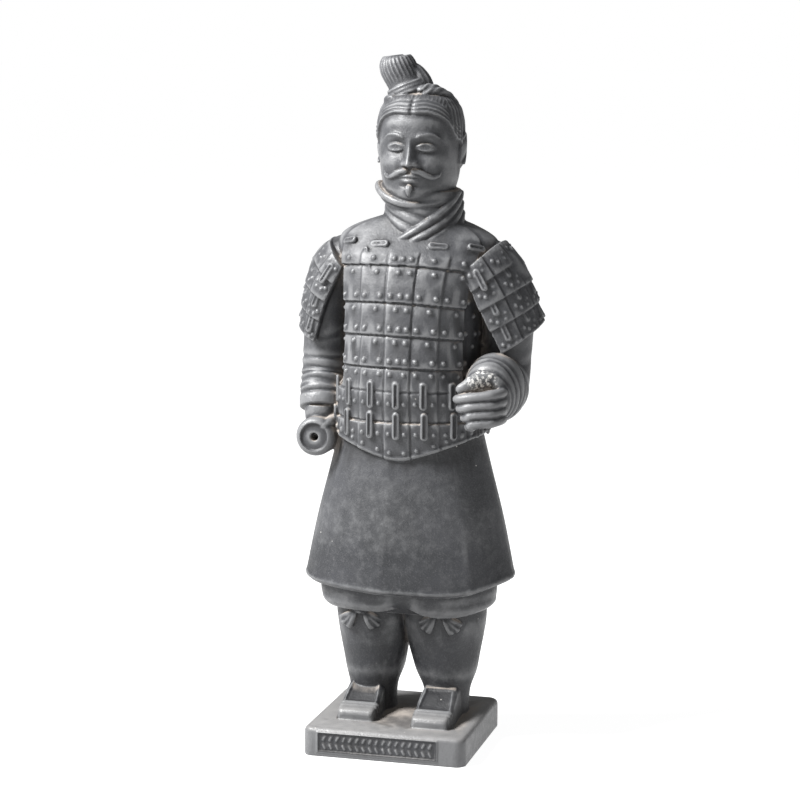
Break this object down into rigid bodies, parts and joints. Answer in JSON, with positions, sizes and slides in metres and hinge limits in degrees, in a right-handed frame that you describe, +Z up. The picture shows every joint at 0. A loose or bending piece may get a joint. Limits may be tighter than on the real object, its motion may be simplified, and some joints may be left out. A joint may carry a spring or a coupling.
{
  "type": "warrior statuette",
  "caption": "Standing armoured warrior figure on a low square plinth, moulded in one piece of dark fired clay.",
  "frame": {"origin": "middle of the plinth's underside", "axes": "+Z up the figure, -Y the way the figure faces, +X the figure's left"},
  "size_m": [0.1044, 0.0695, 0.2903],
  "materials": {
    "dark_clay": "unglazed dark grey clay, burnished on the raised edges, pale clay dust in the hollows"
  },
  "bodies": {
    "root": {"warrior_statue": "dark_clay"}
  },
  "joints": []
}
